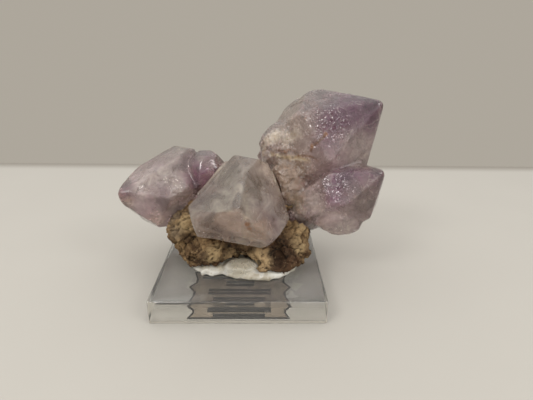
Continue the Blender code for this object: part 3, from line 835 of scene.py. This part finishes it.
def amethyst(name, tones, zones, lines, glints, clear, steps, waviness, edge, veining, wedges=()):
    """Milky quartz with coloured areas and lines on it, and glittering areas with painted sparkles.

    clear is how much light passes through, steps how far its growth facets tilt, waviness the height of its
    fine waves in mm, edge how pale its painted ridge highlight is, veining how strong its pale and dark veins
    are.
    """
    shade = Shade(
        name, IOR=QUARTZ_IOR, Subsurface_Weight=0.7, Subsurface_Scale=0.004,
        Subsurface_Radius=(1.0, 1.0, 1.0), Coat_Weight=0.5, Coat_Roughness=0.06, Coat_IOR=1.54,
    )
    pushed = shade.warped(3.0, 3.0)
    nudged = shade.warped(1.1, 0.8)
    cloud = shade.noise(5.0, 4.0, 0.6, 0.6)
    veil = shade.noise(1.5, 4.0, 0.62, 1.0, shift=(13, 7, 3))

    # Colour: clouds of two tones, the painted areas, thin pale cracks, veins, and a painted highlight on the
    # ridges
    colour = shade.mix(shade.span(cloud, 0.35, 0.68), QUARTZ[tones[0]], QUARTZ[tones[1]])
    colour, cover = painted(shade, colour, veil, pushed, nudged, zones, wedges, lines)
    crack = shade.cell(4.5, feature="DISTANCE_TO_EDGE", place=pushed)
    crack = shade.span(crack, 0.0, 0.04, 1.0, 0.0)
    crack = shade.math("MULTIPLY", crack, shade.span(cloud, 0.45, 0.6, 0.0, 0.4))
    colour = shade.mix(crack, colour, QUARTZ["pale"])
    colour = shade.scaled(colour, shade.span(veil, 0.3, 0.7, 1 - veining, 1 + veining))
    # Painted highlight: the ridges are lightened towards pale, as far as edge
    painted_ridge_highlight = shade.span(shade.pointiness(), 0.52, 0.60, 0.0, edge)
    colour = shade.mix(painted_ridge_highlight, colour, QUARTZ["pale"])

    # Glitter: tilted facets, and pale specks painted between them as sparkles of light
    glitter = 0.0
    for centre, radius in glints:
        glitter = shade.math("MAXIMUM", glitter, shade.ball(centre, radius, 0.6, pushed))
    glitter = shade.math("MULTIPLY", glitter, shade.span(veil, 0.42, 0.58, 0.2, 1.0))
    # Painted highlight: pale specks in the glittering areas stand in for sparkles
    painted_sparkle = shade.span(shade.cell(0.7, place=nudged), 0.16, 0.26, 1.0, 0.0)
    painted_sparkle = shade.math("MULTIPLY", painted_sparkle, shade.span(glitter, 0.3, 0.9, 0.0, 0.75))
    cover = shade.math("MAXIMUM", cover, painted_sparkle)
    shade.set("Base Color", shade.mix(painted_sparkle, colour, PAINTED_SPARKLE_TONE))

    # Frost and clearness
    frost = shade.span(shade.noise(2.2, 4.0, 0.65, shift=(3, 9, 1)), 0.35, 0.7, 0.08, 0.26)
    shade.set("Roughness", shade.math("ADD", frost, shade.math("MULTIPLY", cover, 0.2)))
    see = shade.span(cloud, 0.3, 0.7, clear + 0.12, clear - 0.12)
    bare = shade.math("SUBTRACT", 1.0, cover, clamp=True)
    shade.set("Transmission Weight", shade.math("MULTIPLY", see, bare, clamp=True))
    shade.absorb(*QUARTZ_ABSORB)

    # Fine surface
    fine = shade.bump(shade.noise(0.5, 3.0, 0.6, shift=(4, 8, 2)), 0.012)
    fine = shade.bump(shade.noise(1.6, 3.0, 0.55, 1.2), waviness, fine)
    normal = shade.facets(1.8, steps, fine)
    normal = shade.facets(0.5, shade.math("MULTIPLY", glitter, 1.1), normal)
    shade.set("Normal", normal)
    shade.set("Coat Normal", normal)
    return shade.material


def brown_rock():
    """Crumbly brown and tan rock, with painted shade in its hollows and pockets."""
    shade = Shade("brown_rock", Roughness=0.9, Specular_IOR_Level=0.3)
    pushed = shade.warped(2.2, 2.2)
    patches = shade.noise(3.6, 5.0, 0.62, 0.5, place=pushed)
    grain = shade.noise(0.7, 4.0, 0.7)
    lumps = shade.noise(1.8, 4.0, 0.6, shift=(5, 5, 5))
    colour = shade.mix(shade.span(patches, 0.38, 0.6), ROCK_TONES["umber"], ROCK_TONES["brown"])
    colour = shade.mix(shade.span(lumps, 0.48, 0.66, 0.0, 0.9), colour, ROCK_TONES["lump"])
    for tone, soft, strength, spots in ROCK_PATCHES:
        for centre, radius in spots:
            zone = shade.math("MULTIPLY", shade.ball(centre, radius, soft, pushed), strength)
            colour = shade.mix(zone, colour, ROCK_TONES[tone])
    # Painted shade: each pocket's colour is darkened to near black
    for centre, radius, _ in ROCK_POCKETS:
        zone = shade.math("MULTIPLY", shade.ball(centre, radius * 1.1, 0.5, pushed), 0.7)
        colour = shade.mix(zone, colour, ROCK_TONES["painted_pocket_shade"])
    colour = shade.mix(shade.span(grain, 0.5, 0.72, 0.0, 0.6), colour, ROCK_TONES["dark_grain"])
    colour = shade.mix(shade.span(grain, 0.42, 0.3, 0.0, 0.4), colour, ROCK_TONES["light_grain"])
    # Painted shade: the colour darkens in the hollows, down to 0.15 of itself
    colour = shade.scaled(colour, shade.span(shade.pointiness(), 0.40, 0.50, 0.15, 1.0))
    shade.set("Base Color", colour)
    rough = shade.bump(grain, 0.18)
    rough = shade.bump(shade.noise(0.3, 3.0, 0.7, shift=(2, 2, 2)), 0.07, rough)
    shade.set("Normal", rough)
    return shade.material


def cream_glue():
    """Cream glue with a clearer bead at the front and a few specks of rock in it."""
    shade = Shade(
        "cream_glue", IOR=GLUE_IOR, Subsurface_Weight=0.3, Subsurface_Scale=0.001,
        Subsurface_Radius=(1.0, 1.0, 1.0), Coat_Weight=0.5, Coat_Roughness=0.08,
    )
    cloud = shade.noise(2.4, 3.0, 0.5)
    colour = shade.mix(shade.span(cloud, 0.38, 0.66), GLUE_TONES["cream"], GLUE_TONES["shade"])
    bead = shade.ball(*BEAD_CLEAR)
    colour = shade.mix(bead, colour, GLUE_TONES["bead"])
    specks = shade.span(shade.noise(0.8, 2.0, 0.6, shift=(9, 2, 4)), 0.66, 0.74, 0.0, 0.7)
    colour = shade.mix(specks, colour, GLUE_TONES["speck"])
    # Painted shade: the glue is darker in the hollows between its folds
    colour = shade.scaled(colour, shade.span(shade.pointiness(), 0.42, 0.5, 0.55, 1.0))
    shade.set("Base Color", colour)
    shade.set("Roughness", shade.span(cloud, 0.3, 0.7, 0.22, 0.4))
    shade.set("Transmission Weight", shade.span(bead, 0.0, 1.0, 0.15, 0.55))
    shade.set("Normal", shade.bump(shade.noise(1.1, 2.0, 0.5), 0.15))
    return shade.material


def clear_acrylic():
    """Clear polished acrylic with a little haze and a few faint scratches."""
    shade = Shade("clear_acrylic", Base_Color=(1, 1, 1, 1), IOR=ACRYLIC_IOR, Transmission_Weight=0.94)
    haze = shade.noise(9.0, 3.0, 0.6)
    scratch = shade.noise(0.25, 2.0, 0.5, 3.0)
    rough = shade.math("MULTIPLY", shade.span(haze, 0.4, 0.75), shade.span(scratch, 0.55, 0.7, 0.01, 0.06))
    shade.set("Roughness", rough)
    shade.absorb(*ACRYLIC_ABSORB)
    return shade.material


def label_film():
    """A thin film that only tints what lies under it."""
    shade = Shade("label_film", IOR=1.0, Transmission_Weight=1.0, Roughness=0.0)
    # The tint darkens what lies under it by about a fifth: partly for the missing lettering, partly painted
    # shade under the specimen
    tint = shade.span(shade.noise(4.0, 3.0, 0.5), 0.3, 0.7, 0.76, 0.84)
    shade.set("Base Color", shade.scaled(FILM_TONE, tint))
    return shade.material


def label_print():
    """Dark ink."""
    shade = Shade("label_print", Roughness=0.6)
    ink = shade.noise(0.5, 3.0, 0.6)
    shade.set("Base Color", shade.mix(shade.span(ink, 0.3, 0.7), *PRINT_TONES))
    return shade.material


def table_top():
    """Pale near the camera; the far edge falls to the tone of the wall."""
    shade = Shade("pale_table", Specular_IOR_Level=0.35)
    tone = shade.noise(30.0, 4.0, 0.5)
    colour = shade.mix(tone, *TABLE_TONES)
    split = shade.tree.nodes.new("ShaderNodeSeparateXYZ")
    shade.feed(split.inputs[0], shade.place)
    far = shade.span(split.outputs["Y"], TABLE_BACK - TABLE_FADE, TABLE_BACK)
    colour = shade.mix(far, colour, TABLE_EDGE_TONE)
    shade.set("Base Color", colour)
    shade.set("Roughness", shade.span(tone, 0.3, 0.7, 0.5, 0.6))
    return shade.material


# Pieces

def dress(piece, material, slot, *nodes):
    """Give the piece its material and the root body, and hide the nodes that it stands in for; slot is not
    used.
    """
    piece.data.materials.append(material)
    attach(piece, "root")
    if nodes:
        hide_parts(*nodes)


def piece_from(name, bm):
    """A new object made from the bmesh, which is used up."""
    bmesh.ops.recalc_face_normals(bm, faces=bm.faces)
    mesh = bpy.data.meshes.new(name)
    bm.to_mesh(mesh)
    bm.free()
    piece = bpy.data.objects.new(name, mesh)
    bpy.context.scene.collection.objects.link(piece)
    return piece


def build_slab():
    """The CAD slab's box with eased edges, without the seat for the label."""
    low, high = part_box("base_slab")
    bm = bmesh.new()
    bmesh.ops.create_cube(bm, size=1.0)
    for vertex in bm.verts:
        for i in range(3):
            vertex.co[i] = high[i] if vertex.co[i] > 0 else low[i]
    slab = piece_from("acrylic_slab", bm)
    ease = slab.modifiers.new("ease", "BEVEL")
    ease.width = SLAB_EASE * MM
    ease.segments = 3
    slab.data = evaluated_mesh(slab)
    slab.modifiers.clear()
    slab.data.shade_smooth()
    slab.data.set_sharp_from_angle(angle=SLAB_SHARP)
    dress(slab, clear_acrylic(), "acrylic", "base_slab")


def label_outline(inset):
    """A rectangle whose left and right sides come to a small point in the middle."""
    half = LABEL_HALF - inset
    front = LABEL_FRONT + inset
    back = LABEL_BACK - inset
    middle = (front + back) / 2
    waist = half - LABEL_NOTCH
    right = [
        (half, front), (waist, front + 3 * LABEL_NOTCH), (waist, middle - 2 * LABEL_NOTCH),
        (waist + LABEL_POINT, middle), (waist, middle + 2 * LABEL_NOTCH),
        (waist, back - 3 * LABEL_NOTCH), (half, back),
    ]
    return right + [(-x, y) for x, y in reversed(right)]


def add_prism(bm, outline, bottom, top):
    """Add the solid that the outline sweeps from bottom to top, all in mm."""
    floor = [bm.verts.new((x * MM, y * MM, bottom * MM)) for x, y in outline]
    roof = [bm.verts.new((x * MM, y * MM, top * MM)) for x, y in outline]
    count = len(outline)
    bm.faces.new(floor)
    bm.faces.new(roof)
    for i in range(count):
        j = (i + 1) % count
        bm.faces.new((floor[i], floor[j], roof[j], roof[i]))


def build_label():
    """A clear film with a thin printed border and four pairs of plain ruled lines, seen through the slab."""
    bm = bmesh.new()
    add_prism(bm, label_outline(0.0), *FILM_LEVELS)
    dress(piece_from("label_sheet", bm), label_film(), "label_film", "label")
    bm = bmesh.new()
    outer, inner = label_outline(BORDER_INSET), label_outline(BORDER_INSET + BORDER_WIDTH)
    count = len(outer)
    for i in range(count):
        j = (i + 1) % count
        add_prism(bm, (outer[i], outer[j], inner[j], inner[i]), *PRINT_LEVELS)
    for middle, half in LABEL_RULES:
        for y in (middle - RULE_SPREAD, middle + RULE_SPREAD):
            low, high = y - RULE_HALF, y + RULE_HALF
            add_prism(bm, ((-half, low), (half, low), (half, high), (-half, high)), *PRINT_LEVELS)
    dress(piece_from("label_border", bm), label_print(), "label_film")


def build_glue():
    dress(glue_relief(fine_copy("glue_pad", "glue", GLUE_VOXEL)), cream_glue(), "glue", "glue")


def build_rock():
    dress(rock_relief(fine_copy("rock", "matrix", ROCK_VOXEL)), brown_rock(), "matrix_rock", "matrix")


def one_axis(axis):
    """For each point the same long axis."""
    return lambda points: np.tile(unit(*axis), (len(points), 1))


def pair_axes(points):
    """For each point of the left pair the long axis of its own crystal."""
    small = (points[:, 0] > PAIR_SPLIT)[:, None]
    return np.where(small, unit(*SMALL_AXIS), unit(*LEFT_AXIS))


def build_left_pair():
    piece = fine_copy("left_pair", "left_crystals", LEFT_VOXEL)
    crystal_relief(piece, pair_axes, LEFT_ROUGH, LEFT_WORN, LEFT_GROOVES, LEFT_SWELLS)
    look = amethyst(
        "left_amethyst", ("milky", "grey"), LEFT_ZONES, LEFT_LINES, LEFT_GLINTS,
        clear=0.78, steps=0.08, waviness=0.07, edge=0.2, veining=0.12,
    )
    dress(piece, look, "amethyst", "left_crystals")


def build_front_crystal():
    piece = fine_copy("front_crystal", "centre_crystal", CENTRE_VOXEL)
    crystal_relief(piece, one_axis(CENTRE_AXIS), CENTRE_ROUGH, CENTRE_WORN, CENTRE_GROOVES, CENTRE_SWELLS)
    look = amethyst(
        "front_amethyst", ("cloudy", "fog"), CENTRE_ZONES, CENTRE_LINES, CENTRE_GLINTS,
        clear=0.76, steps=0.05, waviness=0.06, edge=0.05, veining=0.06, wedges=CENTRE_WEDGES,
    )
    dress(piece, look, "amethyst", "centre_crystal")


def build_right_cluster():
    piece = fine_copy("right_cluster", "right_crystals", RIGHT_VOXEL)
    crystal_relief(piece, one_axis(RIGHT_AXIS), RIGHT_ROUGH, RIGHT_WORN, RIGHT_GROOVES)
    look = amethyst(
        "right_amethyst", ("milky", "grey"), RIGHT_ZONES, RIGHT_LINES, RIGHT_GLINTS,
        clear=0.76, steps=0.20, waviness=0.14, edge=0.25, veining=0.14,
    )
    dress(piece, look, "amethyst", "right_crystals")


def build_stage():
    corners = (
        (-TABLE_REACH, -TABLE_REACH), (TABLE_REACH, -TABLE_REACH),
        (TABLE_REACH, TABLE_BACK), (-TABLE_REACH, TABLE_BACK),
    )
    bm = bmesh.new()
    bm.faces.new([bm.verts.new((x * MM, y * MM, -TABLE_DROP * MM)) for x, y in corners])
    table = piece_from("table", bm)
    table.data.materials.append(table_top())


def build_world():
    """A wall-coloured surround that grows lighter overhead."""
    world = bpy.data.worlds.new("studio")
    bpy.context.scene.world = world
    world.use_nodes = True
    tree = world.node_tree
    background = tree.nodes["Background"]
    place = tree.nodes.new("ShaderNodeTexCoord").outputs["Generated"]
    split = tree.nodes.new("ShaderNodeSeparateXYZ")
    tree.links.new(place, split.inputs[0])
    height = tree.nodes.new("ShaderNodeMapRange")
    height.interpolation_type = "SMOOTHSTEP"
    height.inputs["From Min"].default_value = WALL_RISE
    height.inputs["From Max"].default_value = CEILING_RISE
    tree.links.new(split.outputs["Z"], height.inputs["Value"])
    blend = tree.nodes.new("ShaderNodeMix")
    blend.data_type = "RGBA"
    blend.inputs[MIX_FIRST].default_value = (*WALL_LIGHT, 1)
    blend.inputs[MIX_SECOND].default_value = (*CEILING_LIGHT, 1)
    tree.links.new(height.outputs[0], blend.inputs[0])
    tree.links.new(blend.outputs[MIX_RESULT], background.inputs["Color"])
    background.inputs["Strength"].default_value = 1.0


def build_lights():
    for name, place, size, power, colour in LAMPS:
        lamp = bpy.data.lights.new(name, "AREA")
        lamp.shape = "RECTANGLE"
        lamp.size, lamp.size_y = size
        lamp.energy = power
        lamp.color = colour
        thing = bpy.data.objects.new(name, lamp)
        bpy.context.scene.collection.objects.link(thing)
        thing.location = place
        thing.rotation_mode = "QUATERNION"
        thing.rotation_quaternion = (Vector(LAMP_AIM) - Vector(place)).to_track_quat("-Z", "Y")


def build_camera():
    """The camera that took the photograph."""
    data = bpy.data.cameras.new("photo_camera")
    data.sensor_width = SENSOR_WIDTH
    data.lens = FOCAL_PIXELS / PHOTO_WIDTH * SENSOR_WIDTH
    data.clip_start = CAMERA_NEAR
    camera = bpy.data.objects.new("photo_camera", data)
    bpy.context.scene.collection.objects.link(camera)
    level = math.cos(CAMERA_PITCH)
    ahead = Vector((math.sin(CAMERA_YAW) * level, math.cos(CAMERA_YAW) * level, -math.sin(CAMERA_PITCH)))
    right = Vector((math.cos(CAMERA_YAW), -math.sin(CAMERA_YAW), 0))
    up = right.cross(ahead)
    rolled_right = math.cos(CAMERA_ROLL) * right + math.sin(CAMERA_ROLL) * up
    rolled_up = math.cos(CAMERA_ROLL) * up - math.sin(CAMERA_ROLL) * right
    camera.matrix_world = (
        Matrix.Translation(CAMERA_PLACE) @ Matrix((rolled_right, rolled_up, -ahead)).transposed().to_4x4()
    )
    bpy.context.scene.camera = camera


build_slab()
build_label()
build_glue()
build_rock()
build_left_pair()
build_front_crystal()
build_right_cluster()
build_stage()
build_world()
build_lights()
build_camera()
bpy.context.scene.view_settings.view_transform = "Standard"
